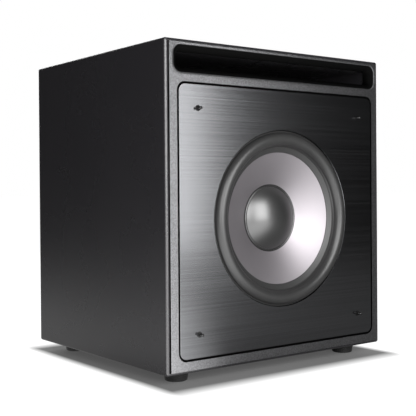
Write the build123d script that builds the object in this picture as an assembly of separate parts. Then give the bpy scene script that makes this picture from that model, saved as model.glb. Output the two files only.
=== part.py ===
from build123d import *
import os
from math import cos, radians, sin, tan

os.makedirs("parts", exist_ok=True)

# A passive, front-ported 12-inch subwoofer on four rubber feet.
# Millimetres.  +Z is up, the front faces -Y, and Z = 0 is the floor under the feet.
# The origin is the middle of the footprint, grille pins included.

# --- cabinet ---
cabinet_width = 474.0
cabinet_depth = 428.0           # with the baffle that stands out of its front
cabinet_height = 515.0
board = 18.0                    # thickness of every cabinet board
edge_radius = 4.0               # rounding of all outer cabinet edges
baffle_proud = 3.5              # how far the baffle stands out of the cabinet's edge
baffle_margin = 6.3             # the edge left showing round it at the sides
baffle_margin_z = 4.6           # and above and below it
baffle_edge = 0.8
foot_height = 18.0
pin_length = 10.0               # how far the grille pins stand out of the faceplate

front = -(cabinet_depth - pin_length) / 2
back = front + cabinet_depth
floor_z = foot_height           # underside of the cabinet
roof_z = floor_z + cabinet_height
half_width = cabinet_width / 2
inner_half = half_width - board
baffle_half = half_width - baffle_margin
shell_front = front + baffle_proud
behind_baffle = front + board

# --- faceplate in its pocket ---
plate_thickness = 3.0
pocket_half = 216.7
pocket_low = 19.0               # above the cabinet's underside
pocket_high = 450.0
pocket_radius = 15.0
plate_gap = 3.0                 # shadow gap all round the faceplate
plate_bevel = 0.8
speaker_z = floor_z + (pocket_low + pocket_high) / 2
plate_hole_radius = 146.5

# --- port slot above the faceplate ---
mouth_half = 225.4
mouth_low = 460.8
mouth_high = 508.5
mouth_radius = 17.0
port_flare = 11.5               # roundover from the mouth down to the duct
duct_low = floor_z + mouth_low + port_flare
duct_high = floor_z + mouth_high - port_flare
shelf_thickness = 15.0
shelf_depth = 290.0

# --- inside the cabinet, under the port shelf ---
inside_low = floor_z + board
inside_high = duct_low - shelf_thickness
brace_front = front + 200.0
brace_rail = 46.0
brace_corner = 22.0
lead_notch = 30.0               # half the width of the opening for the leads
lining_thickness = 14.0
lining_gap = 10.0

# --- grille pins ---
pin_spacing_x = 354.0
pin_spacing_z = 351.0
pin_radius = 2.3
socket_radius = 3.5
socket_depth = 12.0

# --- driver, radii from its axis and depths from the cabinet's front ---
flange_radius = 157.0
flange_front = 3.4
flange_back = 8.4
gasket_thickness = 2.0
rebate_depth = flange_back + gasket_thickness
rebate_radius = flange_radius + 0.5
cutout_radius = 145.2
screw_circle = 151.5
driver_screw_count = 8
driver_screw_radius = 2.4
insert_radius = 4.0
insert_flange = 5.8
insert_length = 12.0
roll_outer = 143.5
roll_inner = 121.5
rubber = 1.2                    # thickness of the surround
cone_edge = 119.0
cone_edge_depth = 8.0
cone_mid = 84.0
cone_mid_depth = 21.6
cone_neck = 39.0
cone_neck_depth = 46.0
cone_thickness = 0.8
cap_radius = 55.6
cap_height = 20.0
coil_former_radius = 38.0       # inside of the former
former_wall = 0.5
former_front = 45.0
former_back = 110.0
winding_front = 85.0
winding_back = 109.0
winding_radius = 39.6
spider_depth = 62.0
spider_outer = 87.0
plate_front = 92.0
plate_back = 102.0
magnet_back = 127.0
yoke_back = 139.0
magnet_radius = 78.0
pole_radius = 37.3
vent_radius = 12.0
tag_x = 9.0
tag_z = speaker_z - 101.0
lug_front = 66.6
lug_back = 69.0
tag_blade = 6.3                 # width of every push-on blade
blade_half = tag_blade / 2

# --- terminal cup in the rear panel ---
cup_z = 140.0
cup_half_width = 43.0
cup_half_height = 31.0
cup_depth = 30.0
cup_wall = 3.0
cup_flange = 13.0
cup_flange_thickness = 2.5
cup_gasket = 1.5
cup_screw_inset = 5.2           # screws, out from the recess's sides
post_spacing = 19.0
stud_radius = 3.5
plug_bore = 2.0                 # 4 mm banana plug
running = 0.06                  # radial clearance of a cap's thread on its stud
collar_radius = 7.0
collar = 3.0                    # outer insulating collar
inner_collar = 2.0
washer_radius = 6.0
washer = 2.0                    # clamp washer
stud_out = 23.0                 # how far the stud stands out of the cup's floor
stud_in = 15.0                  # how far it reaches into the cabinet
plug_depth = 14.0
cap_length = 16.0
cap_outer = 6.6
flute_circle = 7.0
cap_bore = 4.4                  # the plastic cap clears the stud; only its insert is threaded
insert_depth = 9.0              # length of the cap's threaded insert
flutes = 12
cup_screw_radius = 1.7
post_places = {"negative": -post_spacing / 2, "positive": post_spacing / 2}
cup_floor = back - cup_depth    # outer face of the cup's floor
nut_front = cup_floor - cup_wall - inner_collar
tag_length = 15.0

# --- internal leads ---
lead_radius = 1.6
sleeve = 13.0                   # length of a push-on connector
blade_z = cup_z - 11.4
post_sleeve_front = nut_front - tag_length - 3.0
driver_sleeve_back = front + 88.0

# --- feet ---
foot_radius = 20.0
foot_inset = 49.0
foot_screw_radius = 2.2
foot_recess_radius = 9.0
foot_recess = 8.0

loose = 0.2                     # clearance round a fastener in its hole


def block(x0, x1, y0, y1, z0, z1):
    size = Box(x1 - x0, y1 - y0, z1 - z0)
    return Pos((x0 + x1) / 2, (y0 + y1) / 2, (z0 + z1) / 2) * size


def rod(radius, y0, y1, x=0.0, z=0.0):
    """A cylinder along Y."""
    turn = Rot(-90, 0, 0)
    return Pos(x, (y0 + y1) / 2, z) * turn * Cylinder(radius, y1 - y0)


def post(radius, z0, z1, x=0.0, y=0.0):
    """A cylinder along Z."""
    return Pos(x, y, (z0 + z1) / 2) * Cylinder(radius, z1 - z0)


def rounded_slab(x0, x1, z0, z1, radius, y0, y1):
    """A plate facing -Y with rounded corners."""
    outline = RectangleRounded(x1 - x0, z1 - z0, radius)
    plane = Plane(origin=((x0 + x1) / 2, y0, (z0 + z1) / 2), x_dir=(1, 0, 0), z_dir=(0, 1, 0))
    return extrude(plane * outline, y1 - y0)


def turned(points, arc=360.0):
    """Turn a closed outline of (radius, depth) points about the driver's axis."""
    face = make_face(Polyline(*points, close=True))
    return at_driver(revolve(face, Axis.Y, revolution_arc=arc))


def at_driver(shape):
    return Pos(0, front, speaker_z) * shape


def round_driver(shape, count, start=0.0):
    """Copies of a shape spaced evenly about the driver's axis."""
    axis = Axis((0, front, speaker_z), (0, 1, 0))
    return [shape.rotate(axis, start + 360.0 * i / count) for i in range(count)]


def on_circle(radius, count, start=0.0):
    """Points (x, z) spaced evenly on a circle about the driver's axis."""
    turns = [radians(start + 360.0 * i / count) for i in range(count)]
    return [(radius * cos(t), speaker_z + radius * sin(t)) for t in turns]


def tube(points, radii, radius):
    """A round lead of straight runs joined by tangent arcs."""
    path = FilletPolyline(*points, radius=radii)
    start = Plane(origin=path @ 0, z_dir=path % 0)
    return sweep(start * Circle(radius), path=path)


def bend_radii(points):
    """The radius at each corner: 0.45 of the shorter run over the tangent of half the turn."""
    radii = []
    for before, here, after in zip(points, points[1:], points[2:]):
        a, b, c = Vector(*before), Vector(*here), Vector(*after)
        first, second = b - a, c - b
        half_turn = radians(first.get_angle(second)) / 2
        radii.append(0.45 * min(first.length, second.length) / tan(half_turn))
    return radii


pin_places = [
    (sx * pin_spacing_x / 2, speaker_z + sz * pin_spacing_z / 2) for sx in (-1, 1) for sz in (-1, 1)
]
screw_places = on_circle(screw_circle, driver_screw_count, start=22.5)
foot_places = {
    end + "_" + side: (sx * (half_width - foot_inset), y)
    for side, sx in (("left", -1), ("right", 1))
    for end, y in (("front", front + foot_inset), ("rear", back - foot_inset))
}


# --- cabinet boards ---

def baffle_board():
    """The baffle before its openings; it sits in a rebate of the four panels round it."""
    low, high = floor_z + baffle_margin_z, roof_z - baffle_margin_z
    return block(-baffle_half, baffle_half, front, behind_baffle, low, high)


def shell():
    """The cabinet's rounded outside, less the baffle's rebate."""
    outside = block(-half_width, half_width, shell_front, back, floor_z, roof_z)
    return fillet(outside.edges(), edge_radius) - baffle_board()


body = shell()


def side_panel(sign):
    inner, outer = sorted((sign * inner_half, sign * half_width))
    return body & block(inner, outer, shell_front, back, floor_z, roof_z)


def top_panel():
    return body & block(-inner_half, inner_half, shell_front, back, roof_z - board, roof_z)


def bottom_panel():
    panel = body & block(-inner_half, inner_half, shell_front, back, floor_z, floor_z + board)
    for x, y in foot_places.values():
        panel -= post(foot_screw_radius + loose, floor_z, floor_z + board - 1.0, x, y)
    return panel


def rear_panel():
    low, high = floor_z + board, roof_z - board
    panel = body & block(-inner_half, inner_half, back - board, back, low, high)
    panel -= cup_opening(back - board, back)
    panel -= cup_recess()
    for x, z in cup_screw_places():
        panel -= rod(cup_screw_radius + loose, back - 14.0, back, x, z)
    return panel


def front_baffle():
    panel = baffle_board()
    panel = fillet(panel.faces().sort_by(Axis.Y)[0].edges(), baffle_edge)
    duct_half = mouth_half - port_flare
    duct_radius = mouth_radius - port_flare
    panel -= rounded_slab(-duct_half, duct_half, duct_low, duct_high, duct_radius, front, behind_baffle)
    rim = panel.edges().filter_by_position(Axis.Y, front - 0.01, front + 0.01)
    rim = rim.filter_by_position(Axis.X, -duct_half - 0.1, duct_half + 0.1)
    rim = rim.filter_by_position(Axis.Z, duct_low - 0.1, duct_high + 0.1)
    panel = fillet(rim, port_flare)
    low, high = floor_z + pocket_low, floor_z + pocket_high
    panel -= rounded_slab(
        -pocket_half, pocket_half, low, high, pocket_radius, front, front + plate_thickness
    )
    panel -= rod(rebate_radius, front, front + rebate_depth, 0, speaker_z)
    panel -= rod(cutout_radius, front, behind_baffle, 0, speaker_z)
    for x, z in screw_places:
        panel -= rod(driver_screw_radius + loose, front, behind_baffle, x, z)
    for x, z in pin_places:
        panel -= rod(socket_radius + loose, front, front + socket_depth + 0.5, x, z)
    return panel


def baffle_stiffener():
    """A second board glued behind the baffle, which the driver's screws pull on."""
    rear = behind_baffle + board
    panel = block(-inner_half, inner_half, behind_baffle, rear, inside_low, inside_high)
    panel -= rod(cutout_radius, behind_baffle, rear, 0, speaker_z)
    for x, z in screw_places:
        panel -= rod(insert_radius + loose, behind_baffle, rear, x, z)
    return panel


def port_shelf():
    """The floor of the port duct; the top panel is its ceiling."""
    rear = behind_baffle + shelf_depth
    return block(-inner_half, inner_half, behind_baffle, rear, inside_high, duct_low)


def window_brace():
    """A board across the cabinet with four windows, under the port shelf."""
    rear = brace_front + board
    brace = block(-inner_half, inner_half, brace_front, rear, inside_low, inside_high)
    width = (2 * inner_half - 3 * brace_rail) / 2
    height = (inside_high - inside_low - 3 * brace_rail) / 2
    for column in range(2):
        x0 = -inner_half + brace_rail + column * (width + brace_rail)
        for row in range(2):
            z0 = inside_low + brace_rail + row * (height + brace_rail)
            brace -= rounded_slab(x0, x0 + width, z0, z0 + height, brace_corner, brace_front, rear)
    sill = inside_low + brace_rail
    notch_top = sill + 2 * lead_notch
    return brace - rounded_slab(-lead_notch, lead_notch, sill, notch_top, 8.0, brace_front, rear)


def side_lining(sign):
    """Felt on a side panel, behind the brace."""
    inner, outer = sorted((sign * (inner_half - lining_thickness), sign * inner_half))
    y0, y1 = brace_front + board + lining_gap, back - board - lining_thickness - 2.0
    return block(inner, outer, y0, y1, inside_low + lining_gap, inside_high - lining_gap)


def rear_lining():
    """Felt on the rear panel, with a hole round the terminal cup."""
    low, high = inside_low + lining_gap, inside_high - lining_gap
    half = inner_half - lining_thickness - 6.0
    y0, y1 = back - board - lining_thickness, back - board
    margin = 12.0
    wide, tall = cup_half_width + margin, cup_half_height + margin
    felt = block(-half, half, y0, y1, low, high)
    return felt - block(-wide, wide, y0, y1, cup_z - tall, cup_z + tall)


# --- front metalwork ---

def faceplate():
    half = pocket_half - plate_gap
    low, high = floor_z + pocket_low + plate_gap, floor_z + pocket_high - plate_gap
    rear = front + plate_thickness
    plate = rounded_slab(-half, half, low, high, pocket_radius - plate_gap, front, rear)
    plate -= rod(plate_hole_radius, front, rear, 0, speaker_z)
    plate = chamfer(plate.edges().filter_by_position(Axis.Y, front - 0.01, front + 0.01), plate_bevel)
    for x, z in pin_places:
        plate -= rod(socket_radius + loose, front, rear, x, z)
    return plate


def grille_pin_sockets():
    """Four flanged bushings that hold the faceplate down and take the pins."""
    rim_radius, rim = 4.6, 0.7
    sockets = []
    for x, z in pin_places:
        socket = rod(socket_radius, front, front + socket_depth, x, z)
        socket += rod(rim_radius, front - rim, front, x, z)
        socket -= rod(1.9, front - rim, front + socket_depth - 2.0, x, z)
        sockets.append(socket)
    return Compound(sockets)


def grille_pins():
    """Four pins with a shoulder, a waist and a domed head."""
    shank, waist, rim = 1.8, 1.7, 0.7
    tip = pin_length
    outline = [
        (0, -8.0), (shank, -8.0), (shank, rim), (pin_radius, rim), (pin_radius, 5.6), (waist, 6.4),
        (waist, 7.2), (pin_radius, 8.0), (pin_radius, tip - 1.0), (pin_radius - 1.0, tip), (0, tip),
    ]
    pin = revolve(make_face(Polyline(*outline, close=True)), Axis.Y)
    pin = Rot(180, 0, 0) * pin
    return Compound([Pos(x, front, z) * pin for x, z in pin_places])


# --- driver ---

def driver_basket():
    """Cast frame: flange, six arms, a shelf for the spider and a seat for the top plate."""
    shell = turned([
        (140.5, flange_front), (flange_radius, flange_front), (flange_radius, flange_back),
        (144.5, flange_back), (144.5, 12.0), (137.0, 33.0), (94.5, 66.6), (84.0, 69.0),
        (84.0, plate_front), (60.0, plate_front), (60.0, 88.0), (79.5, 88.0), (79.5, spider_depth + 0.6),
        (90.0, spider_depth + 0.6), (133.0, 30.0), (140.5, 10.0),
    ])
    arm_window = turned([(97.0, 40.0), (135.0, 14.5), (150.0, 14.5), (150.0, 64.4), (97.0, 64.4)], 44.0)
    neck_window = turned([(70.0, 72.0), (90.0, 72.0), (90.0, 86.0), (70.0, 86.0)], 40.0)
    windows = round_driver(arm_window, 6, start=68.0) + round_driver(neck_window, 6, start=70.0)
    for window in windows:
        shell -= window
    for x, z in screw_places:
        shell -= rod(driver_screw_radius + loose, front, behind_baffle, x, z)
        shell -= screw_head(x, z, grow=0.15)
    lug = block(-15.0, 15.0, front + lug_front, front + lug_back, tag_z - 9.0, tag_z + 19.0)
    return shell + lug


def screw_head(x, z, grow=0.0):
    """A countersunk head sunk in the flange's front."""
    outer, shank = 4.0 + grow, driver_screw_radius + grow
    head = [(0, 0), (outer, 0), (outer, 0.4), (shank, 2.4 + grow), (0, 2.4 + grow)]
    return Pos(x, front + flange_front, z) * revolve(make_face(Polyline(*head, close=True)), Axis.Y)


def driver_gasket():
    ring = turned([
        (cutout_radius + 0.2, flange_back), (flange_radius - 0.5, flange_back),
        (flange_radius - 0.5, rebate_depth), (cutout_radius + 0.2, rebate_depth),
    ])
    for x, z in screw_places:
        ring -= rod(driver_screw_radius + loose, front, behind_baffle, x, z)
    return ring


def threaded_inserts():
    """Eight flanged nuts pressed into the back of the stiffener."""
    rear, rim = behind_baffle + board, 1.4
    inserts = []
    for x, z in screw_places:
        insert = rod(insert_radius, rear - insert_length, rear, x, z)
        insert += rod(insert_flange, rear, rear + rim, x, z)
        inserts.append(insert - rod(driver_screw_radius + 0.1, rear - insert_length, rear + rim, x, z))
    return Compound(inserts)


def driver_screws():
    screws = []
    for x, z in screw_places:
        shank = rod(driver_screw_radius, front + flange_front + 1.0, front + 42.0, x, z)
        screws.append(shank + screw_head(x, z))
    return Compound(screws)


def surround():
    """Half roll with a flat outer foot and a sloping inner land over the cone's edge."""
    foot_outer = 146.0
    base = flange_front - rubber
    middle = (roll_outer + roll_inner) / 2
    radius = (roll_outer - roll_inner) / 2
    land = 110.5
    land_depth = cone_depth(land) - 0.3
    edge_depth = cone_depth(roll_inner - rubber) - 0.3
    outline = [
        Line((foot_outer, base), (roll_outer, base)),
        ThreePointArc((roll_outer, base), (middle, base - radius), (roll_inner, base)),
        Line((roll_inner, base), (land, land_depth - rubber)),
        Line((land, land_depth - rubber), (land, land_depth)),
        Line((land, land_depth), (roll_inner - rubber, edge_depth)),
        Line((roll_inner - rubber, edge_depth), (roll_inner + rubber, base + 0.3)),
        ThreePointArc(
            (roll_inner + rubber, base + 0.3), (middle, base - radius + rubber),
            (roll_outer - rubber, base + 0.3),
        ),
        Line((roll_outer - rubber, base + 0.3), (roll_outer - rubber, flange_front)),
        Line((roll_outer - rubber, flange_front), (foot_outer, flange_front)),
        Line((foot_outer, flange_front), (foot_outer, base)),
    ]
    return at_driver(revolve(make_face(outline), Axis.Y))


def cone_arc(offset):
    """The cone's gently curved generator, offset backwards."""
    return ThreePointArc(
        (cone_edge, cone_edge_depth + offset), (cone_mid, cone_mid_depth + offset),
        (cone_neck, cone_neck_depth + offset),
    )


def cone_depth(radius):
    """Depth of the cone's front surface at a radius, on the generator's circle."""
    arc = cone_arc(0)
    centre = arc.arc_center
    return centre.Y + (arc.radius**2 - (radius - centre.X) ** 2) ** 0.5 * generator_side(arc)


def generator_side(arc):
    return 1 if arc.arc_center.Y < cone_mid_depth else -1


def cone():
    front_arc, rear_arc = cone_arc(0), cone_arc(cone_thickness)
    outline = [
        front_arc, rear_arc,
        Line(front_arc @ 0, rear_arc @ 0), Line(front_arc @ 1, rear_arc @ 1),
    ]
    return at_driver(revolve(make_face(outline), Axis.Y))


def dust_cap():
    """A dome glued on the cone."""
    rim_depth = cone_depth(cap_radius) - 0.1
    wall = 1.0
    outer = dome_arc(cap_radius, rim_depth, cap_height)
    inner = dome_arc(cap_radius - wall, rim_depth, cap_height - wall)
    outline = [
        outer, inner,
        Line(outer @ 0, inner @ 0), Line(outer @ 1, inner @ 1),
    ]
    return at_driver(revolve(make_face(outline), Axis.Y))


def dome_arc(radius, rim_depth, height):
    """From the rim to the apex on the axis, along a circle."""
    sphere = (radius**2 + height**2) / (2 * height)
    centre = rim_depth - height + sphere
    middle = radius / 2
    middle_depth = centre - (sphere**2 - middle**2) ** 0.5
    return ThreePointArc((radius, rim_depth), (middle, middle_depth), (0, rim_depth - height))


def ring(inner, outer, y0, y1):
    return turned([(inner, y0), (outer, y0), (outer, y1), (inner, y1)])


def voice_coil_former():
    return ring(coil_former_radius, coil_former_radius + former_wall, former_front, former_back)


def voice_coil():
    return ring(coil_former_radius + former_wall, winding_radius, winding_front, winding_back)


def spider():
    """Corrugated cloth disc between the former and the basket's shelf."""
    inner = coil_former_radius + former_wall + 0.3
    pitch, height, cloth = 8.0, 2.2, 0.6
    flat = 79.0
    top, bottom = [(inner, spider_depth)], [(inner, spider_depth + cloth)]
    steps = int((flat - inner - 4.0) // (pitch / 2))
    for i in range(steps + 1):
        radius = inner + 3.0 + i * pitch / 2
        lift = height if i % 2 else -height
        top.append((radius, spider_depth + lift / 2))
        bottom.append((radius, spider_depth + cloth + lift / 2))
    top += [(flat, spider_depth), (spider_outer, spider_depth)]
    bottom += [(flat, spider_depth + cloth), (spider_outer, spider_depth + cloth)]
    return turned(top + bottom[::-1])


def top_plate():
    return ring(winding_radius + 0.5, magnet_radius + 2.0, plate_front, plate_back)


def ring_magnet():
    return ring(46.0, magnet_radius, plate_back, magnet_back)


def yoke():
    """Back plate and vented pole in one piece."""
    groove = pole_radius - 1.2
    return turned([
        (vent_radius, plate_front - 2.0), (pole_radius, plate_front - 2.0), (pole_radius, 104.0),
        (groove, 104.0), (groove, 116.0), (pole_radius, 116.0), (pole_radius, magnet_back),
        (magnet_radius, magnet_back), (magnet_radius, yoke_back), (vent_radius, yoke_back),
    ])


def shorting_ring():
    return ring(pole_radius - 1.15, pole_radius, 104.05, 115.95)


def magnet_boot():
    outer, inner = magnet_radius + 5.0, magnet_radius + 2.2
    return turned([
        (inner, plate_front + 1.0), (outer, plate_front + 1.0), (outer, yoke_back + 2.4),
        (50.0, yoke_back + 2.4), (50.0, yoke_back + 0.1), (inner, yoke_back + 0.1),
    ])


def tag_slots(shape):
    """The same shape with a slot for each of the driver's two blades."""
    wide, tall = blade_half + 0.25, 0.6
    y0, y1 = front + lug_front, front + lug_back + 3.0
    for x in (-tag_x, tag_x):
        shape -= block(x - wide, x + wide, y0, y1, tag_z - tall, tag_z + tall)
    return shape


def tag_board():
    strip = block(-15.0, 15.0, front + lug_back, front + lug_back + 2.2, tag_z - 9.0, tag_z + 9.0)
    return tag_slots(strip)


def driver_tags():
    """Two brass blades through the tag board and the basket's lug."""
    tags = []
    y0, y1 = front + 63.0, front + 82.0
    for x in (-tag_x, tag_x):
        tags.append(block(x - blade_half, x + blade_half, y0, y1, tag_z - 0.4, tag_z + 0.4))
    return Compound(tags)


def tinsel_leads():
    """Braided flexible leads from the tags to the back of the cone."""
    leads = []
    for x in (-tag_x, tag_x):
        points = [
            (x, front + 62.8, tag_z), (x, front + 54.0, tag_z + 2.0), (x, front + 47.5, tag_z + 10.5),
            (x, front + 43.5, tag_z + 21.5), (x, front + 40.5, tag_z + 32.0), (x, front + 36.2, tag_z + 41.0),
        ]
        leads.append(tube(points, bend_radii(points), 0.9))
    return Compound(leads)


# --- terminal cup and its two binding posts ---

def cup_opening(y0, y1):
    wide, tall = cup_half_width + cup_wall + 0.6, cup_half_height + cup_wall + 0.6
    return rounded_slab(-wide, wide, cup_z - tall, cup_z + tall, 13.0, y0, y1)


def cup_recess():
    """The rear panel's shallow rebate for the cup's flange and gasket."""
    wide, tall = cup_half_width + cup_flange + 0.3, cup_half_height + cup_flange + 0.3
    depth = cup_flange_thickness + cup_gasket
    return rounded_slab(-wide, wide, cup_z - tall, cup_z + tall, 14.3, back - depth, back)


def cup_screw_places():
    dx, dz = cup_half_width + cup_screw_inset, cup_half_height + cup_screw_inset
    return [(sx * dx, cup_z + sz * dz) for sx in (-1, 1) for sz in (-1, 1)]


def terminal_cup():
    wide, tall = cup_half_width, cup_half_height
    shell = rounded_slab(
        -wide - cup_wall, wide + cup_wall, cup_z - tall - cup_wall, cup_z + tall + cup_wall,
        12.0, cup_floor - cup_wall, back,
    )
    shell += rounded_slab(
        -wide - cup_flange, wide + cup_flange, cup_z - tall - cup_flange, cup_z + tall + cup_flange,
        14.0, back - cup_flange_thickness, back,
    )
    shell -= rounded_slab(-wide, wide, cup_z - tall, cup_z + tall, 9.0, cup_floor, back)
    rim = shell.edges().filter_by_position(Axis.Y, back - 0.01, back + 0.01)
    shell = fillet(rim, 1.0)
    for x in post_places.values():
        shell -= rod(stud_radius + loose, cup_floor - cup_wall, cup_floor, x, cup_z)
    for x, z in cup_screw_places():
        shell -= rod(cup_screw_radius + loose, back - cup_flange_thickness, back, x, z)
        shell -= cup_screw_head(x, z, grow=0.15)
    return shell


def cup_screw_head(x, z, grow=0.0):
    outer, shank, depth = 3.4 + grow, cup_screw_radius + grow, 1.6 + grow
    head = [(0, 0), (outer, 0), (shank, -depth), (0, -depth)]
    return Pos(x, back, z) * revolve(make_face(Polyline(*head, close=True)), Axis.Y)


def terminal_gasket():
    wide, tall = cup_half_width, cup_half_height
    y0, y1 = back - cup_flange_thickness - cup_gasket, back - cup_flange_thickness
    sheet = rounded_slab(
        -wide - cup_flange, wide + cup_flange, cup_z - tall - cup_flange, cup_z + tall + cup_flange,
        14.0, y0, y1,
    )
    sheet -= cup_opening(y0, y1)
    for x, z in cup_screw_places():
        sheet -= rod(cup_screw_radius + loose, y0, y1, x, z)
    return sheet


def terminal_cup_screws():
    screws = []
    for x, z in cup_screw_places():
        screw = rod(cup_screw_radius, back - 13.0, back - 0.8, x, z) + cup_screw_head(x, z)
        slot = block(x - 2.0, x + 2.0, back - 0.8, back, z - 0.3, z + 0.3)
        cross = block(x - 0.3, x + 0.3, back - 0.8, back, z - 2.0, z + 2.0)
        screws.append(screw - slot - cross)
    return Compound(screws)


def binding_stud(x):
    """A hollow-ended stud: 4 mm plug bore in the end, cross hole for a bare wire."""
    y0, y1 = cup_floor - stud_in, cup_floor + stud_out
    stud = rod(stud_radius, y0, y1, x, cup_z)
    stud -= rod(plug_bore, y1 - plug_depth, y1, x, cup_z)
    wire_y = cup_floor + collar + washer + 1.9
    stud -= post(1.3, cup_z - 5.0, cup_z + 5.0, x, wire_y)
    return stud


def insulating_collars(x):
    """One collar each side of the cup's floor."""
    outer = rod(collar_radius, cup_floor, cup_floor + collar, x, cup_z)
    inner = rod(collar_radius, nut_front, cup_floor - cup_wall, x, cup_z)
    hole = rod(stud_radius + loose, nut_front, cup_floor + collar, x, cup_z)
    return Compound([outer - hole, inner - hole])


def clamp_washer(x):
    y0 = cup_floor + collar + 0.05
    disc = rod(washer_radius, y0, y0 + washer, x, cup_z)
    return disc - rod(stud_radius + running, y0, y0 + washer, x, cup_z)


def binding_knob(x):
    """A fluted cap open at its end, so that a plug can reach the stud."""
    y0 = cup_floor + collar + washer + 0.1
    y1 = y0 + cap_length
    shoulder = 1.2
    cap = rod(cap_outer, y0, y1 - shoulder, x, cup_z)
    cap += rod(cap_outer - 1.0, y1 - shoulder, y1, x, cup_z)
    for i in range(flutes):
        turn = radians(360.0 * i / flutes)
        flute_x, flute_z = x + flute_circle * cos(turn), cup_z + flute_circle * sin(turn)
        cap -= rod(0.9, y0 + 3.0, y1, flute_x, flute_z)
    return cap - rod(cap_bore, y0, y1, x, cup_z)


def cap_insert(x):
    """The threaded brass sleeve moulded into the cap."""
    y0 = cup_floor + collar + washer + 0.1
    sleeve_part = rod(cap_bore, y0, y0 + insert_depth, x, cup_z)
    return sleeve_part - rod(stud_radius + running, y0, y0 + insert_depth, x, cup_z)


def hex_nut(x, y0, y1):
    plane = Plane(origin=(x, y0, cup_z), x_dir=(1, 0, 0), z_dir=(0, 1, 0))
    prism = extrude(plane * RegularPolygon(5.5, 6), y1 - y0)
    return prism - rod(stud_radius + 0.1, y0, y1, x, cup_z)


def post_nuts():
    return Compound([hex_nut(x, nut_front - 4.2, nut_front - 1.2) for x in post_places.values()])


def post_tags():
    """A ring tag under each nut, with its blade turned forward."""
    tags = []
    for x in post_places.values():
        x0, x1 = x - blade_half, x + blade_half
        tag = rod(washer_radius, nut_front - 0.9, nut_front, x, cup_z)
        tag += block(x0, x1, nut_front - 0.9, nut_front, cup_z - 11.0, cup_z)
        tag += block(x0, x1, nut_front - tag_length, nut_front, cup_z - 11.8, cup_z - 11.0)
        tags.append(tag - rod(stud_radius + 0.1, nut_front - 1.0, nut_front + 1.0, x, cup_z))
    return Compound(tags)


# --- push-on connectors and leads ---

def push_on(x, y0, y1, z):
    """A push-on connector over a blade."""
    shell = block(x - 4.2, x + 4.2, y0, y1, z - 1.9, z + 1.9)
    return shell - block(x - 3.2, x + 3.2, y0 + 2.0, y1, z - 0.5, z + 0.5)


def lead_connectors(x_post, x_driver):
    at_post = push_on(x_post, post_sleeve_front, post_sleeve_front + sleeve, blade_z)
    mirrored = push_on(x_driver, -driver_sleeve_back, -driver_sleeve_back + sleeve, tag_z)
    at_tag = mirrored.mirror(Plane.XZ)
    return Compound([at_post, at_tag])


def lead(sign):
    """A lead that sags between the terminal cup and the driver."""
    x0, x1 = sign * post_spacing / 2, sign * tag_x
    points = [
        (x0, post_sleeve_front, blade_z), (x0, 120.0, blade_z), (x0 + sign * 1.5, 82.0, 122.0),
        (x0 + sign * 3.5, 42.0, 115.0), (x0 + sign * 4.0, 0.0, 114.0), (x0 + sign * 3.0, -40.0, 120.0),
        (x0 + sign * 1.0, -72.0, 134.0), (x1, -98.0, tag_z), (x1, driver_sleeve_back, tag_z),
    ]
    return tube(points, bend_radii(points), lead_radius)


# --- feet ---

def rubber_foot(x, y):
    """A tapered rubber foot with a recess for its screw."""
    hole = foot_screw_radius + 2 * loose
    outline = [
        (hole, foot_height), (foot_radius, foot_height), (foot_radius, 12.0), (foot_radius - 1.8, 1.2),
        (foot_radius - 3.0, 0.0), (foot_recess_radius, 0.0), (foot_recess_radius, foot_recess),
        (hole, foot_recess),
    ]
    face = make_face(Plane.XZ * Polyline(*outline, close=True))
    return Pos(x, y, 0) * revolve(face, Axis.Z)


def foot_washers():
    washers = []
    for x, y in foot_places.values():
        disc = post(8.0, foot_recess - 1.2, foot_recess, x, y)
        washers.append(disc - post(foot_screw_radius + 0.3, 0.0, foot_recess, x, y))
    return Compound(washers)


def foot_screws():
    screws = []
    for x, y in foot_places.values():
        screw = post(4.4, 4.2, 6.8, x, y) + post(foot_screw_radius, 6.8, floor_z + board - 2.0, x, y)
        slot = block(x - 2.6, x + 2.6, y - 0.4, y + 0.4, 4.2, 5.4)
        cross = block(x - 0.4, x + 0.4, y - 2.6, y + 2.6, 4.2, 5.4)
        screws.append(screw - slot - cross)
    return Compound(screws)


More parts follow.
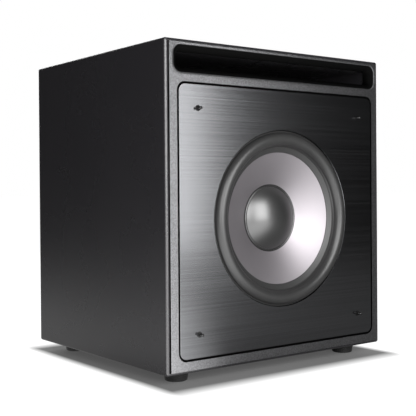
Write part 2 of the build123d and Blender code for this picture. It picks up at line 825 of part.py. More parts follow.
def every_part():
    parts = {
        "left_side_panel": side_panel(-1),
        "right_side_panel": side_panel(1),
        "top_panel": top_panel(),
        "bottom_panel": bottom_panel(),
        "rear_panel": rear_panel(),
        "front_baffle": front_baffle(),
        "baffle_stiffener": baffle_stiffener(),
        "port_shelf": port_shelf(),
        "window_brace": window_brace(),
        "left_lining": side_lining(-1),
        "right_lining": side_lining(1),
        "rear_lining": rear_lining(),
        "faceplate": faceplate(),
        "grille_pin_sockets": grille_pin_sockets(),
        "grille_pins": grille_pins(),
        "driver_basket": tag_slots(driver_basket()),
        "driver_gasket": driver_gasket(),
        "driver_screws": driver_screws(),
        "threaded_inserts": threaded_inserts(),
        "surround": surround(),
        "cone": cone(),
        "dust_cap": dust_cap(),
        "voice_coil_former": voice_coil_former(),
        "voice_coil": voice_coil(),
        "spider": spider(),
        "top_plate": top_plate(),
        "ring_magnet": ring_magnet(),
        "yoke": yoke(),
        "shorting_ring": shorting_ring(),
        "magnet_boot": magnet_boot(),
        "tag_board": tag_board(),
        "driver_tags": driver_tags(),
        "tinsel_leads": tinsel_leads(),
        "terminal_cup": terminal_cup(),
        "terminal_gasket": terminal_gasket(),
        "terminal_cup_screws": terminal_cup_screws(),
        "post_nuts": post_nuts(),
        "post_tags": post_tags(),
        "foot_washers": foot_washers(),
        "foot_screws": foot_screws(),
    }
    for name, x in post_places.items():
        parts[name + "_stud"] = binding_stud(x)
        parts[name + "_collars"] = insulating_collars(x)
        parts[name + "_clamp_washer"] = clamp_washer(x)
        parts[name + "_knob"] = binding_knob(x)
        parts[name + "_cap_insert"] = cap_insert(x)
        sign = 1 if x > 0 else -1
        parts[name + "_lead"] = lead(sign)
        parts[name + "_connectors"] = lead_connectors(x, sign * tag_x)
    for name, (x, y) in foot_places.items():
        parts["foot_" + name] = rubber_foot(x, y)
    return parts


for node, shape in every_part().items():
    export_step(shape, f"parts/{node}.step")
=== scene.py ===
import math

import bmesh
import bpy
import numpy as np
from mathutils import Matrix, Vector


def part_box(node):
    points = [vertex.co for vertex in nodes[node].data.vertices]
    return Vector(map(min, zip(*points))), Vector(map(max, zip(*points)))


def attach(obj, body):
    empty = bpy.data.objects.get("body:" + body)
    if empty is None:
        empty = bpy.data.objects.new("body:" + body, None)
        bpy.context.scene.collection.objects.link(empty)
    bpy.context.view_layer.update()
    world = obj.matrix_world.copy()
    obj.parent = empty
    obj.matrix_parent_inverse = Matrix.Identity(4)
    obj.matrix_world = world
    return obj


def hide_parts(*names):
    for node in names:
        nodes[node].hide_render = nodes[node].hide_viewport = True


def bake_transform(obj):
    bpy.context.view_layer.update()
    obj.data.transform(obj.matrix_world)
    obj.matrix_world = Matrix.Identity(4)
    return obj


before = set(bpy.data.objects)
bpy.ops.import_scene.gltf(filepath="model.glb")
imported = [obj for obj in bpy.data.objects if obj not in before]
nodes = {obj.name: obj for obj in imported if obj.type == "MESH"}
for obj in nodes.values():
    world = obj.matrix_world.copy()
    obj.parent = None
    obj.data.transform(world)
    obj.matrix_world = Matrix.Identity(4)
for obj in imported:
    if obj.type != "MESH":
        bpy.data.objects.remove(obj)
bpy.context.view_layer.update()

MM = 0.001

# Places taken from the frame
front_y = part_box("front_baffle")[0].y
back_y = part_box("rear_panel")[1].y
plate_low, plate_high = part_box("faceplate")
driver_z = (plate_low.z + plate_high.z) / 2
side_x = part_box("right_side_panel")[1].x


# ---------------------------------------------------------------- node helpers

class Finish:
    """A Principled material with short helpers for its procedural detail."""

    def __init__(self, name, colour, roughness=0.5, metallic=0.0, **sockets):
        self.material = bpy.data.materials.new(name)
        self.material.use_nodes = True
        self.tree = self.material.node_tree
        self.shader = self.tree.nodes["Principled BSDF"]
        self.shader.inputs["Base Color"].default_value = (*colour, 1.0)
        self.shader.inputs["Roughness"].default_value = roughness
        self.shader.inputs["Metallic"].default_value = metallic
        for socket, value in sockets.items():
            self.shader.inputs[socket.replace("_", " ")].default_value = value
        self.coordinates = self.node("ShaderNodeTexCoord").outputs["Object"]
        self.normal = None

    def node(self, kind, **settings):
        made = self.tree.nodes.new(kind)
        for key, value in settings.items():
            setattr(made, key, value)
        return made

    def link(self, source, target):
        self.tree.links.new(source, target)

    def stretched(self, scale):
        """Object coordinates, in metres, multiplied per axis."""
        mapping = self.node("ShaderNodeMapping")
        mapping.inputs["Scale"].default_value = scale
        self.link(self.coordinates, mapping.inputs["Vector"])
        return mapping.outputs["Vector"]

    def noise(self, scale, detail=3.0, vector=None, roughness=0.5):
        made = self.node("ShaderNodeTexNoise")
        made.inputs["Scale"].default_value = scale
        made.inputs["Detail"].default_value = detail
        made.inputs["Roughness"].default_value = roughness
        self.link(vector or self.coordinates, made.inputs["Vector"])
        return made.outputs["Fac"]

    def cells(self, scale):
        made = self.node("ShaderNodeTexVoronoi", feature="F1")
        made.inputs["Scale"].default_value = scale
        self.link(self.coordinates, made.inputs["Vector"])
        return made.outputs["Distance"]

    def spread(self, value, low, high, start=0.0, end=1.0):
        """Map a value's range start..end to low..high."""
        made = self.node("ShaderNodeMapRange")
        for socket, number in zip(("From Min", "From Max", "To Min", "To Max"), (start, end, low, high)):
            made.inputs[socket].default_value = number
        self.link(value, made.inputs["Value"])
        return made.outputs["Result"]

    def math(self, operation, first, second):
        made = self.node("ShaderNodeMath", operation=operation)
        for socket, value in zip(made.inputs, (first, second)):
            if isinstance(value, (int, float)):
                socket.default_value = value
            else:
                self.link(value, socket)
        return made.outputs["Value"]

    def vary_roughness(self, value, low, high, start=0.3, end=0.7):
        self.link(self.spread(value, low, high, start, end), self.shader.inputs["Roughness"])
        return self

    def vary_colour(self, value, dark, light, start=0.3, end=0.7):
        mix = self.node("ShaderNodeMix", data_type="RGBA")
        mix.inputs["A"].default_value = (*dark, 1.0)
        mix.inputs["B"].default_value = (*light, 1.0)
        self.link(self.spread(value, 0.0, 1.0, start, end), mix.inputs["Factor"])
        self.link(mix.outputs["Result"], self.shader.inputs["Base Color"])
        return self

    def axis_radius(self):
        """Distance from the driver's axis, in metres."""
        split = self.node("ShaderNodeSeparateXYZ")
        self.link(self.coordinates, split.inputs["Vector"])
        up = self.math("SUBTRACT", split.outputs["Z"], driver_z)
        squares = [self.math("MULTIPLY", v, v) for v in (split.outputs["X"], up)]
        return self.math("POWER", self.math("ADD", *squares), 0.5)

    def bump(self, height, depth, strength=1.0):
        """Raise the surface by height times depth metres; calls stack."""
        made = self.node("ShaderNodeBump")
        made.inputs["Strength"].default_value = strength
        made.inputs["Distance"].default_value = depth
        self.link(height, made.inputs["Height"])
        if self.normal:
            self.link(self.normal, made.inputs["Normal"])
        self.normal = made.outputs["Normal"]
        self.link(self.normal, self.shader.inputs["Normal"])
        return self


def shade(value):
    return (value, value, value)


# ---------------------------------------------------------------- finishes

def cabinet_finish():
    """Fine-textured black coating."""
    f = Finish("textured_black", shade(0.014), roughness=0.27, Specular_IOR_Level=0.7)
    grain = f.cells(620.0)
    fine = f.noise(1500.0, detail=2.0)
    wide = f.noise(9.0, detail=4.0)
    f.vary_roughness(wide, 0.25, 0.30)
    f.vary_colour(fine, (0.011, 0.0105, 0.012), (0.018, 0.017, 0.019))
    return f.bump(grain, 0.00018, 0.55).bump(fine, 0.00008, 0.6).material


def baffle_finish():
    """Speckled satin black on the face; matt black inside the openings and rebates, darkened to near black
    as painted shade.
    """
    f = Finish("satin_black", shade(0.12), roughness=0.32, metallic=1.0, Specular_IOR_Level=0.04)
    split = f.node("ShaderNodeSeparateXYZ")
    f.link(f.coordinates, split.inputs["Vector"])
    # painted shade: every surface more than a fraction of a millimetre behind the front face turns near
    # black
    inside = f.spread(split.outputs["Y"], 0.0, 1.0, front_y + 0.00012, front_y + 0.0004)
    face = f.math("SUBTRACT", 1.0, inside)
    speckle = f.noise(520.0, detail=2.0, roughness=0.6)
    wide = f.noise(9.0, detail=4.0)
    level = f.math("MULTIPLY", face, f.spread(speckle, 0.62, 1.0, 0.35, 0.65))
    # the dark end, 0.003, is the painted shade inside the openings and rebates
    f.vary_colour(level, shade(0.003), (0.275, 0.275, 0.284), 0.0, 1.0)
    f.link(face, f.shader.inputs["Metallic"])
    f.vary_roughness(f.math("ADD", f.math("MULTIPLY", wide, 0.1), inside), 0.28, 0.8, 0.0, 1.1)
    return f.bump(speckle, 0.00025, 0.5).bump(f.noise(1500.0, detail=2.0), 0.00006, 0.5).material


def brushed_finish():
    """Black anodised aluminium, brushed from side to side, with its edges behind the front face darkened to
    near black as painted shade.
    """
    f = Finish("brushed_black", (0.15, 0.152, 0.157), roughness=0.2, metallic=1.0)
    streaks = f.noise(1.0, detail=4.0, vector=f.stretched((2.5, 2.5, 800.0)), roughness=0.5)
    long_streaks = f.noise(1.0, detail=3.0, vector=f.stretched((1.2, 1.2, 420.0)), roughness=0.5)
    both = f.math("ADD", f.math("MULTIPLY", streaks, 0.5), f.math("MULTIPLY", long_streaks, 0.5))
    split = f.node("ShaderNodeSeparateXYZ")
    f.link(f.coordinates, split.inputs["Vector"])
    # painted shade: surfaces behind the plate's front face, in the gap round it, turn near black
    face = f.spread(split.outputs["Y"], 1.0, 0.0, plate_low.y + 0.0002, plate_low.y + 0.0005)
    level = f.math("MULTIPLY", face, f.spread(both, 0.78, 1.0, 0.35, 0.65))
    f.vary_colour(level, shade(0.004), (0.178, 0.18, 0.187), 0.0, 1.0)
    f.vary_roughness(both, 0.175, 0.215, 0.35, 0.65)
    return f.bump(streaks, 0.00001, 0.25).material


def rubber_finish(name, value, roughness):
    """Dusty black rubber or foam."""
    f = Finish(name, shade(value), roughness=roughness)
    dust = f.noise(60.0, detail=6.0)
    fine = f.noise(1800.0, detail=2.0)
    f.vary_colour(dust, shade(value * 0.85), shade(value * 1.25))
    f.vary_roughness(dust, roughness - 0.05, roughness + 0.06)
    return f.bump(fine, 0.00003, 0.4).material


def surround_finish():
    """Soft black rubber; the glued-down foot outside the roll is dull, and darkened to near black as painted
    shade in the gap round the roll.
    """
    f = Finish("surround_rubber", shade(0.03), roughness=0.38, Specular_IOR_Level=0.45)
    # painted shade: the foot beyond the roll, down in the gap, turns near black
    foot = f.spread(f.axis_radius(), 0.0, 1.0, 0.1426, 0.1432)
    dust = f.noise(60.0, detail=6.0)
    level = f.math("MULTIPLY", f.math("SUBTRACT", 1.0, foot), f.spread(dust, 0.75, 1.0))
    f.vary_colour(level, shade(0.002), shade(0.022), 0.0, 1.0)
    f.vary_roughness(f.math("ADD", f.math("MULTIPLY", dust, 0.1), foot), 0.34, 0.85, 0.0, 1.1)
    return f.bump(f.noise(1800.0, detail=2.0), 0.00003, 0.4).material


def cone_finish():
    """Satin anodised metal with a faint grain, and a dark ring of glue round the dust cap."""
    f = Finish("cone_satin", (0.28, 0.265, 0.28), roughness=0.46, metallic=0.85)
    grain = f.noise(2600.0, detail=2.0)
    wide = f.noise(14.0, detail=3.0)
    bare = f.spread(f.axis_radius(), 0.0, 1.0, 0.0572, 0.0578)
    level = f.math("MULTIPLY", bare, f.spread(wide, 0.92, 1.0))
    f.vary_colour(level, shade(0.008), (0.252, 0.236, 0.25), 0.0, 1.0)
    f.link(f.math("MULTIPLY", bare, 0.85), f.shader.inputs["Metallic"])
    f.vary_roughness(grain, 0.43, 0.49)
    return f.bump(grain, 0.00002, 0.5).material


def cap_finish():
    """Satin black of the dust cap."""
    f = Finish("cap_satin", shade(0.02), roughness=0.31, Specular_IOR_Level=1.0)
    fine = f.noise(2200.0, detail=2.0)
    wide = f.noise(22.0, detail=4.0)
    f.vary_roughness(wide, 0.30, 0.33)
    f.vary_colour(fine, shade(0.012), shade(0.018))
    return f.bump(fine, 0.00002, 0.4).material


def plastic_finish(name, colour, roughness, grain=900.0, depth=0.00004):
    """Moulded plastic with a fine grain."""
    f = Finish(name, colour, roughness=roughness)
    fine = f.noise(grain, detail=3.0)
    wide = f.noise(35.0, detail=4.0)
    f.vary_roughness(wide, roughness - 0.05, roughness + 0.07)
    f.vary_colour(wide, tuple(c * 0.88 for c in colour), tuple(c * 1.12 for c in colour))
    return f.bump(fine, depth, 0.5).material


def metal_finish(name, colour, roughness, grain=(700.0, 700.0, 700.0), metallic=1.0):
    """Plated or machined metal with scratches and stains."""
    f = Finish(name, colour, roughness=roughness, metallic=metallic)
    scratches = f.noise(1.0, detail=5.0, vector=f.stretched(grain), roughness=0.6)
    stain = f.noise(40.0, detail=5.0)
    f.vary_roughness(scratches, roughness - 0.07, roughness + 0.1)
    f.vary_colour(stain, tuple(c * 0.82 for c in colour), tuple(min(1.0, c * 1.08) for c in colour))
    return f.bump(scratches, 0.00003, 0.5).material


def board_finish(name, colour):
    """Sawn wood-fibre board: fine fibres and darker specks."""
    f = Finish(name, colour, roughness=0.82)
    fibres = f.noise(1.0, detail=6.0, vector=f.stretched((500.0, 500.0, 160.0)), roughness=0.7)
    wide = f.noise(12.0, detail=5.0)
    mixed = f.math("ADD", f.math("MULTIPLY", fibres, 0.65), f.math("MULTIPLY", wide, 0.35))
    f.vary_colour(mixed, tuple(c * 0.75 for c in colour), tuple(c * 1.2 for c in colour))
    return f.bump(fibres, 0.00012, 0.6).material


def felt_finish():
    """Loose polyester felt."""
    f = Finish("felt", shade(0.5), roughness=0.95, Sheen_Weight=0.35)
    fluff = f.noise(420.0, detail=8.0, roughness=0.75)
    wide = f.noise(25.0, detail=4.0)
    f.vary_colour(wide, (0.42, 0.42, 0.40), (0.60, 0.60, 0.58))
    return f.bump(fluff, 0.0008, 0.8).material


def cloth_finish(name, colour):
    """Woven cloth set with resin: two crossed sets of threads."""
    f = Finish(name, colour, roughness=0.7, Sheen_Weight=0.15)
    warp = f.node("ShaderNodeTexWave", bands_direction="X")
    weft = f.node("ShaderNodeTexWave", bands_direction="Z")
    for threads in (warp, weft):
        threads.inputs["Scale"].default_value = 330.0
        threads.inputs["Distortion"].default_value = 0.6
        f.link(f.coordinates, threads.inputs["Vector"])
    weave = f.math("MULTIPLY", warp.outputs["Fac"], weft.outputs["Fac"])
    f.vary_colour(weave, tuple(c * 0.6 for c in colour), colour, 0.1, 0.6)
    return f.bump(weave, 0.0002, 0.7).material


def ferrite_finish():
    """Sintered magnet with small pits."""
    f = Finish("ferrite", shade(0.045), roughness=0.62)
    pits = f.cells(260.0)
    speck = f.noise(900.0, detail=4.0)
    f.vary_colour(speck, shade(0.035), shade(0.06))
    return f.bump(pits, 0.0002, 0.4).bump(speck, 0.00006, 0.5).material


def winding_finish():
    """Lacquered copper wire wound round the former."""
    f = Finish("copper_winding", (0.72, 0.34, 0.16), roughness=0.25, metallic=1.0)
    turns = f.node("ShaderNodeTexWave", bands_direction="Y")
    turns.inputs["Scale"].default_value = 500.0
    f.link(f.coordinates, turns.inputs["Vector"])
    f.vary_colour(turns.outputs["Fac"], (0.38, 0.15, 0.07), (0.80, 0.40, 0.20), 0.1, 0.8)
    return f.bump(turns.outputs["Fac"], 0.0002, 0.7).material


def coat(material, *names):
    """Give CAD nodes or pieces a finish."""
    for name in names:
        thing = nodes[name] if isinstance(name, str) else name
        thing.data.materials.clear()
        thing.data.materials.append(material)


# ---------------------------------------------------------------- mesh helpers

CREASE = math.radians(32)       # edges sharper than this stay sharp


def add_piece(name, verts, faces):
    """A smooth-shaded mesh object at the world origin."""
    mesh = bpy.data.meshes.new(name)
    mesh.from_pydata([tuple(v) for v in verts], [], faces)
    bm = bmesh.new()
    bm.from_mesh(mesh)
    bmesh.ops.recalc_face_normals(bm, faces=bm.faces)
    for face in bm.faces:
        face.smooth = True
    for edge in bm.edges:
        if len(edge.link_faces) == 2:
            edge.smooth = edge.calc_face_angle(0.0) < CREASE
    bm.to_mesh(mesh)
    bm.free()
    piece = bpy.data.objects.new(name, mesh)
    bpy.context.scene.collection.objects.link(piece)
    return piece


def arc(centre, radius, start, end, steps):
    """Points (radius, depth) along a circle, angles in degrees."""
    turns = [math.radians(start + (end - start) * i / steps) for i in range(steps + 1)]
    return [(centre[0] + radius * math.cos(t), centre[1] + radius * math.sin(t)) for t in turns]


def circle_through(a, b, c):
    """Centre and radius of the circle through three points."""
    d = 2 * (a[0] * (b[1] - c[1]) + b[0] * (c[1] - a[1]) + c[0] * (a[1] - b[1]))
    aa, bb, cc = (p[0] ** 2 + p[1] ** 2 for p in (a, b, c))
    x = (aa * (b[1] - c[1]) + bb * (c[1] - a[1]) + cc * (a[1] - b[1])) / d
    y = (aa * (c[0] - b[0]) + bb * (a[0] - c[0]) + cc * (b[0] - a[0])) / d
    return (x, y), math.hypot(a[0] - x, a[1] - y)


def lathe(name, outline, segments=192):
    """Turn a closed outline of (radius mm, depth mm behind the front) about the driver's axis."""
    verts, faces = [], []
    count = len(outline)
    on_axis = [r < 1e-6 for r, _ in outline]
    index = {}
    for i, (radius, depth) in enumerate(outline):
        for s in range(1 if on_axis[i] else segments):
            turn = 2 * math.pi * s / segments
            index[i, s] = len(verts)
            y = front_y + depth * MM
            verts.append((radius * MM * math.cos(turn), y, driver_z + radius * MM * math.sin(turn)))
    for i in range(count):
        j = (i + 1) % count
        for s in range(segments):
            t = (s + 1) % segments
            ring = [index[i, 0 if on_axis[i] else s], index[i, 0 if on_axis[i] else t],
                    index[j, 0 if on_axis[j] else t], index[j, 0 if on_axis[j] else s]]
            face = list(dict.fromkeys(ring))
            if len(face) > 2:
                faces.append(face)
    return add_piece(name, verts, faces)


# ---------------------------------------------------------------- driver

CONE_EDGE, CONE_MID, CONE_NECK = (119.0, 8.0), (84.0, 21.6), (39.0, 46.0)
cone_centre, cone_circle = circle_through(CONE_EDGE, CONE_MID, CONE_NECK)
CAP_RADIUS, CAP_HEIGHT = 55.6, 20.0


def cone_depth(radius):
    return cone_centre[1] - math.sqrt(cone_circle**2 - (radius - cone_centre[0]) ** 2)


def cone_line(start, end, offset, steps):
    """The cone's curved generator between two radii, offset backwards."""
    radii = [start + (end - start) * i / steps for i in range(steps + 1)]
    return [(r, cone_depth(r) + offset) for r in radii]


def make_cone():
    """Cone of even wall along its curved generator."""
    wall = 0.8
    outline = cone_line(CONE_EDGE[0], CONE_NECK[0], 0.0, 48)
    outline += cone_line(CONE_NECK[0], CONE_EDGE[0], wall, 24)
    return lathe("cone_shell", outline, 256)


def make_dust_cap():
    """Dome with a glue lip and a raised bead round its foot."""
    rim = cone_depth(CAP_RADIUS)
    sphere = (CAP_RADIUS**2 + CAP_HEIGHT**2) / (2 * CAP_HEIGHT)
    centre = rim - CAP_HEIGHT + sphere
    dome_edge = CAP_RADIUS - 3.0
    top = [dome_edge * i / 40 for i in range(41)]
    dome = [(r, centre - math.sqrt(sphere**2 - r**2)) for r in top]
    edge_depth = dome[-1][1]
    bead = [
        (dome_edge + 0.3, edge_depth + 1.4), (dome_edge + 0.8, edge_depth + 1.5),
        (dome_edge + 1.2, edge_depth + 0.5), (dome_edge + 1.8, edge_depth + 0.2),
        (dome_edge + 2.5, edge_depth + 0.5), (CAP_RADIUS, rim - 0.1),
        (CAP_RADIUS - 0.6, rim + 0.05), (dome_edge - 1.0, rim + 0.2),
    ]
    inside = [(r * 0.96, centre + 1.0 - math.sqrt(sphere**2 - (r * 0.96) ** 2)) for r in reversed(top)]
    return lathe("dust_cap_dome", dome + bead + inside, 192)


def make_surround():
    """Half roll, outer foot, and an inner land with a fine moulded step on each side."""
    outer, inner, thick = 143.5, 121.5, 1.2
    base = 3.4 - thick
    middle, radius = (outer + inner) / 2, (outer - inner) / 2
    land = 110.5
    outline = [(146.0, base), (outer + 0.8, base), (outer + 0.1, base - 0.3)]
    outline += arc((middle, base), radius, 0, -180, 40)
    outline += [(inner - 0.3, base + 0.5), (inner - 1.0, base + 1.4)]
    outline += cone_line(inner - 2.0, land + 0.8, -1.5, 10)
    outline += [(land + 0.2, cone_depth(land) - 1.3), (land, cone_depth(land) - 0.4)]
    outline += cone_line(land + 0.3, inner - thick, -0.3, 8)
    outline += arc((middle, base + 0.3), radius - thick, -180, 0, 32)
    outline += [(outer - thick, 3.4), (146.0, 3.4)]
    return lathe("surround_roll", outline, 256)


def make_spider():
    """Corrugated cloth disc with a flat rim."""
    inner, flat, outer, cloth = 38.8, 79.0, 87.0, 0.5
    waves, height, depth = 5, 1.1, 62.0
    radii = [inner + (flat - inner) * i / 90 for i in range(91)]
    lift = [height * math.sin(2 * math.pi * waves * i / 90) * min(1.0, i / 8) for i in range(91)]
    front_line = [(r, depth + h) for r, h in zip(radii, lift)]
    rear_line = [(r, depth + cloth + h) for r, h in zip(radii, lift)]
    outline = front_line + [(outer, depth), (outer, depth + cloth)] + rear_line[::-1]
    return lathe("spider_disc", outline, 160)


def make_braids():
    """The flexible leads' own shape, copied as a separate piece between basket and cone."""
    source = nodes["tinsel_leads"]
    mesh = source.data.copy()
    mesh.transform(source.matrix_world)
    braids = bpy.data.objects.new("tinsel_braids", mesh)
    bpy.context.scene.collection.objects.link(braids)
    return braids


axis_point = Vector((0.0, front_y, driver_z))

cone = make_cone()
coat(cone_finish(), cone)
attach(cone, "cone_assembly")
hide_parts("cone")

cap = make_dust_cap()
coat(cap_finish(), cap)
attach(cap, "cone_assembly")
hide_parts("dust_cap")

surround = make_surround()
coat(surround_finish(), surround)
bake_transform(surround)
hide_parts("surround")

spider = make_spider()
coat(cloth_finish("spider_cloth", (0.62, 0.42, 0.16)), spider)
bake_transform(spider)
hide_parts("spider")


braids = make_braids()
coat(metal_finish("braided_copper", (0.70, 0.36, 0.20), 0.35, (4000.0, 4000.0, 4000.0)), braids)
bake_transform(braids)
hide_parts("tinsel_leads")


# ---------------------------------------------------------------- finishes on the CAD nodes

textured = cabinet_finish()
coat(textured, "left_side_panel", "right_side_panel", "top_panel", "bottom_panel", "rear_panel")
coat(baffle_finish(), "front_baffle")
coat(board_finish("port_paint", (0.012, 0.012, 0.012)), "port_shelf")
coat(board_finish("raw_board", (0.42, 0.29, 0.17)), "baffle_stiffener", "window_brace")
coat(felt_finish(), "left_lining", "right_lining", "rear_lining")
coat(brushed_finish(), "faceplate")
coat(plastic_finish("pin_plastic", shade(0.005), 0.16), "grille_pins", "grille_pin_sockets")
coat(metal_finish("cast_frame", shade(0.03), 0.45, metallic=0.4), "driver_basket")
coat(rubber_finish("foam_gasket", 0.02, 0.8), "driver_gasket", "terminal_gasket")
coat(metal_finish("black_screw", shade(0.03), 0.35), "driver_screws", "terminal_cup_screws")
coat(metal_finish("zinc_steel", (0.60, 0.60, 0.57), 0.32), "threaded_inserts", "foot_screws", "foot_washers")
coat(metal_finish("former_foil", (0.60, 0.52, 0.38), 0.35), "voice_coil_former")
coat(winding_finish(), "voice_coil")
coat(metal_finish("plated_steel", (0.55, 0.55, 0.53), 0.36), "top_plate", "yoke")
coat(ferrite_finish(), "ring_magnet")
coat(metal_finish("machined_ring", (0.72, 0.72, 0.72), 0.25, (60.0, 2500.0, 60.0)), "shorting_ring")
coat(rubber_finish("boot_rubber", 0.025, 0.55), "magnet_boot")
coat(board_finish("fibre_board", (0.16, 0.07, 0.03)), "tag_board")
coat(metal_finish("tinned_brass", (0.70, 0.66, 0.52), 0.3), "driver_tags", "post_nuts", "post_tags")
coat(plastic_finish("cup_plastic", shade(0.018), 0.45, 1400.0, 0.00008), "terminal_cup",
     "positive_collars", "negative_collars")
gold = metal_finish("gold_plate", (0.86, 0.62, 0.25), 0.22)
coat(gold, "positive_stud", "negative_stud", "positive_clamp_washer", "negative_clamp_washer",
     "positive_cap_insert", "negative_cap_insert")
coat(plastic_finish("red_cap", (0.45, 0.012, 0.012), 0.22), "positive_knob")
coat(plastic_finish("black_cap", shade(0.013), 0.22), "negative_knob")
coat(plastic_finish("red_lead", (0.42, 0.015, 0.012), 0.4), "positive_lead", "positive_connectors")
coat(plastic_finish("black_lead", shade(0.014), 0.4), "negative_lead", "negative_connectors")
coat(rubber_finish("foot_rubber", 0.014, 0.22),
     "foot_front_left", "foot_front_right", "foot_rear_left", "foot_rear_right")


# ---------------------------------------------------------------- floor, light and camera

FLOOR_HALF = 30.0
SHADOW_WIDTH = 0.042            # contact shadow round the footprint, in metres
SHADOW_LEVEL = 0.07
SIDE_NARROWING = 2.0            # the shadow is narrower beside the cabinet than in front
FRONT_LEVEL = 3.5               # glow of the floor in front, seen in the faceplate's lower left


def make_floor():
    """White floor with a painted contact shadow to the camera; to reflections, a glow beside the cabinet and
    a wedge in front of it.
    """
    half = FLOOR_HALF
    corners = [(-half, -half, 0), (half, -half, 0), (half, half, 0), (-half, half, 0)]
    floor = add_piece("floor", corners, [(0, 1, 2, 3)])
    f = Finish("pale_floor", shade(0.12), roughness=0.8)
    footprint = (side_x, back_y)
    split = f.node("ShaderNodeSeparateXYZ")
    f.link(f.coordinates, split.inputs["Vector"])
    outside = []
    for axis, reach, narrowing in zip("XY", footprint, (SIDE_NARROWING, 1.0)):
        beyond = f.math("SUBTRACT", f.math("ABSOLUTE", split.outputs[axis], 0.0), reach)
        scaled = f.math("MULTIPLY", f.math("MAXIMUM", beyond, 0.0), narrowing)
        outside.append(f.math("POWER", scaled, 2.0))
    distance = f.math("POWER", f.math("ADD", *outside), 0.5)
    # painted contact shadow: the emission the camera sees falls to SHADOW_LEVEL at the footprint
    near = f.spread(distance, SHADOW_LEVEL, 1.0, 0.0, SHADOW_WIDTH)
    behind = f.spread(f.math("SUBTRACT", split.outputs["Y"], split.outputs["X"]), 0.04, 1.0, -0.1, 0.5)
    side_glow = f.math("MULTIPLY", behind, f.spread(distance, 0.45, 0.05, 0.5, 2.4))
    wedge = f.math("ADD", split.outputs["X"], f.math("MULTIPLY", split.outputs["Y"], 0.7))
    across = f.spread(wedge, FRONT_LEVEL, 0.0, -0.46, -0.26)
    front_glow = f.math("MULTIPLY", across, f.spread(distance, 1.0, 0.2, 0.9, 2.0))
    facing = f.spread(split.outputs["Y"], 1.0, 0.0, front_y - 0.02, front_y)
    far = f.math("ADD", side_glow, f.math("MULTIPLY", facing, front_glow))
    seen = f.node("ShaderNodeLightPath").outputs["Is Camera Ray"]
    unseen = f.math("SUBTRACT", 1.0, seen)
    glow = f.math("ADD", f.math("MULTIPLY", seen, near), f.math("MULTIPLY", unseen, far))
    f.shader.inputs["Emission Color"].default_value = (1.0, 1.0, 1.0, 1.0)
    f.link(glow, f.shader.inputs["Emission Strength"])
    clear = f.node("ShaderNodeBsdfTransparent")
    sides = f.node("ShaderNodeMixShader")
    f.link(f.node("ShaderNodeNewGeometry").outputs["Backfacing"], sides.inputs["Fac"])
    f.link(f.shader.outputs["BSDF"], sides.inputs[1])
    f.link(clear.outputs["BSDF"], sides.inputs[2])
    f.link(sides.outputs["Shader"], f.tree.nodes["Material Output"].inputs["Surface"])
    floor.data.materials.append(f.material)


def softbox(name, place, target, width, height, power):
    """A white rectangular light that the camera does not see."""
    light = bpy.data.lights.new(name, "AREA")
    light.shape = "RECTANGLE"
    light.size, light.size_y = width, height
    light.energy = power
    lamp = bpy.data.objects.new(name, light)
    bpy.context.scene.collection.objects.link(lamp)
    lamp.location = place
    lamp.rotation_euler = (Vector(target) - Vector(place)).to_track_quat("-Z", "Y").to_euler()
    lamp.visible_camera = False
    return lamp


def restrict(lamp, state, names):
    """Light linking: INCLUDE lights only the named nodes, EXCLUDE all but them."""
    group = bpy.data.collections.new(lamp.name + "_receivers")
    for name in names:
        group.objects.link(nodes[name])
    for entry in group.collection_objects:
        entry.light_linking.link_state = state
    lamp.light_linking.receiver_collection = group


def around(azimuth, distance, height):
    """A place round the driver: azimuth 0 is straight in front, positive to the right."""
    turn = math.radians(azimuth)
    return Vector((distance * math.sin(turn), front_y - distance * math.cos(turn), height))


FRONT_DISTANCE = 2.4            # of the front lights from the cabinet's front, in metres
REAR_DISTANCE = 2.6
FRONT_METAL = ("faceplate", "front_baffle")
KEY = dict(azimuth=0, height=0.9, size=(1.45, 1.76))
LEFT = dict(azimuth=-40, height=0.95, size=(1.5, 1.8))
EDGE = dict(azimuth=30, height=0.5, size=(0.3, 0.98))
REAR = dict(azimuth=168, height=1.1, size=(1.6, 1.2))
RIGHT = dict(azimuth=108, height=1.0, size=(1.3, 1.2))


def place_softbox(name, spot, distance, power):
    place = around(spot["azimuth"], distance, spot["height"])
    return softbox(name, place, axis_point, *spot["size"], power)


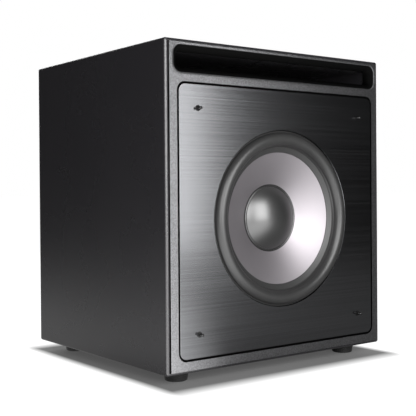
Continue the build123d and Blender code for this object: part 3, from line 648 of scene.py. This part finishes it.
def make_lights():
    """Front softboxes, dimmer copies for the reflective front, a strip for its edge, and two rear fills."""
    key = place_softbox("key_softbox", KEY, FRONT_DISTANCE, 80)
    left = place_softbox("left_softbox", LEFT, FRONT_DISTANCE, 64)
    for lamp in (key, left):
        restrict(lamp, "EXCLUDE", FRONT_METAL)
    dim_key = place_softbox("dim_key", KEY, FRONT_DISTANCE, 12)
    dim_left = place_softbox("dim_left", LEFT, FRONT_DISTANCE, 9)
    edge_strip = place_softbox("edge_strip", EDGE, FRONT_DISTANCE, 5.4)
    for lamp in (dim_key, dim_left, edge_strip):
        restrict(lamp, "INCLUDE", FRONT_METAL)
    place_softbox("rear_softbox", REAR, REAR_DISTANCE, 26)
    place_softbox("right_softbox", RIGHT, REAR_DISTANCE, 16)
    world = bpy.data.worlds.new("studio")
    world.use_nodes = True
    bpy.context.scene.world = world
    tree = world.node_tree
    path = tree.nodes.new("ShaderNodeLightPath")
    strength = tree.nodes.new("ShaderNodeMapRange")
    strength.inputs["To Min"].default_value = 0.02
    strength.inputs["To Max"].default_value = 1.0
    tree.links.new(path.outputs["Is Camera Ray"], strength.inputs["Value"])
    background = tree.nodes["Background"]
    background.inputs["Color"].default_value = (1.0, 1.0, 1.0, 1.0)
    tree.links.new(strength.outputs["Result"], background.inputs["Strength"])


def make_camera():
    """The photograph's viewpoint."""
    yaw, pitch, roll = math.radians(37.266), math.radians(0.607), math.radians(-0.427)
    ahead = Vector((math.sin(yaw) * math.cos(pitch), math.cos(yaw) * math.cos(pitch), -math.sin(pitch)))
    right = Vector((math.cos(yaw), -math.sin(yaw), 0.0))
    up = right.cross(ahead)
    right_rolled = right * math.cos(roll) + up * math.sin(roll)
    up_rolled = up * math.cos(roll) - right * math.sin(roll)
    camera = bpy.data.objects.new("camera", bpy.data.cameras.new("camera"))
    bpy.context.scene.collection.objects.link(camera)
    turn = Matrix((right_rolled, up_rolled, -ahead)).transposed()
    camera.matrix_world = Matrix.Translation((-0.9704, front_y - 1.0667, 0.3038)) @ turn.to_4x4()
    camera.data.lens = 74.32
    camera.data.shift_y = -0.0256
    bpy.context.scene.camera = camera


make_floor()
make_lights()
make_camera()
bpy.context.scene.view_settings.view_transform = "Standard"
